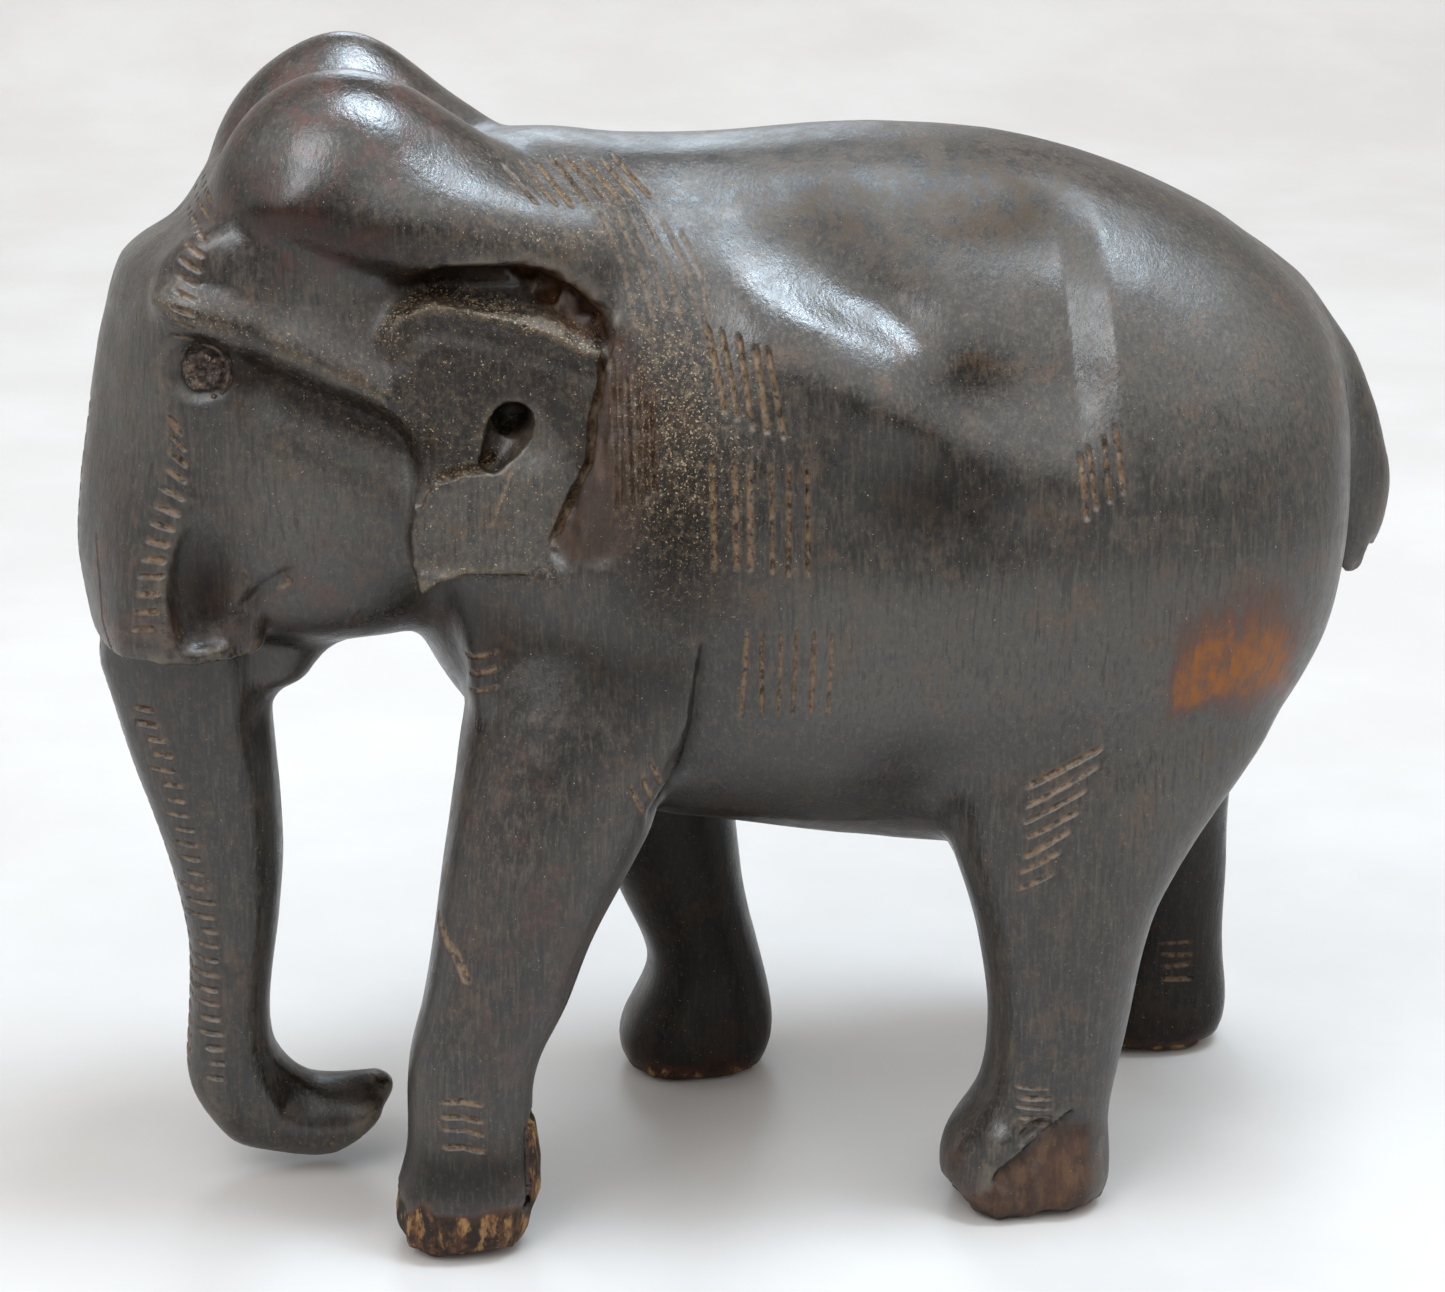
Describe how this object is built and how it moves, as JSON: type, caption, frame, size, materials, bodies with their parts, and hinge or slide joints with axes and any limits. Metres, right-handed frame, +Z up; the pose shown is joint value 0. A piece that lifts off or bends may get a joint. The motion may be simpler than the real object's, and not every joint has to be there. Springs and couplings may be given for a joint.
{
  "type": "carved wooden elephant figurine",
  "caption": "Hand-carved dark wooden elephant standing in stride, twin domed forehead, trunk curled under, relief ears, filled eyes and chiselled hatch marks.",
  "frame": {"origin": "under the middle of the overall box, on the plane of the four soles", "axes": "the animal faces -X with its tail at +X, its left side is -Y, +Z is up"},
  "size_m": [0.1643, 0.0648, 0.1421],
  "materials": {
    "dark_wood": "waxed and handled, semi-gloss",
    "eye_mastic": "rough natural mastic"
  },
  "bodies": {
    "root": {"carved_body": "dark_wood", "left_eye_plug": "eye_mastic", "right_eye_plug": "eye_mastic"}
  },
  "joints": []
}
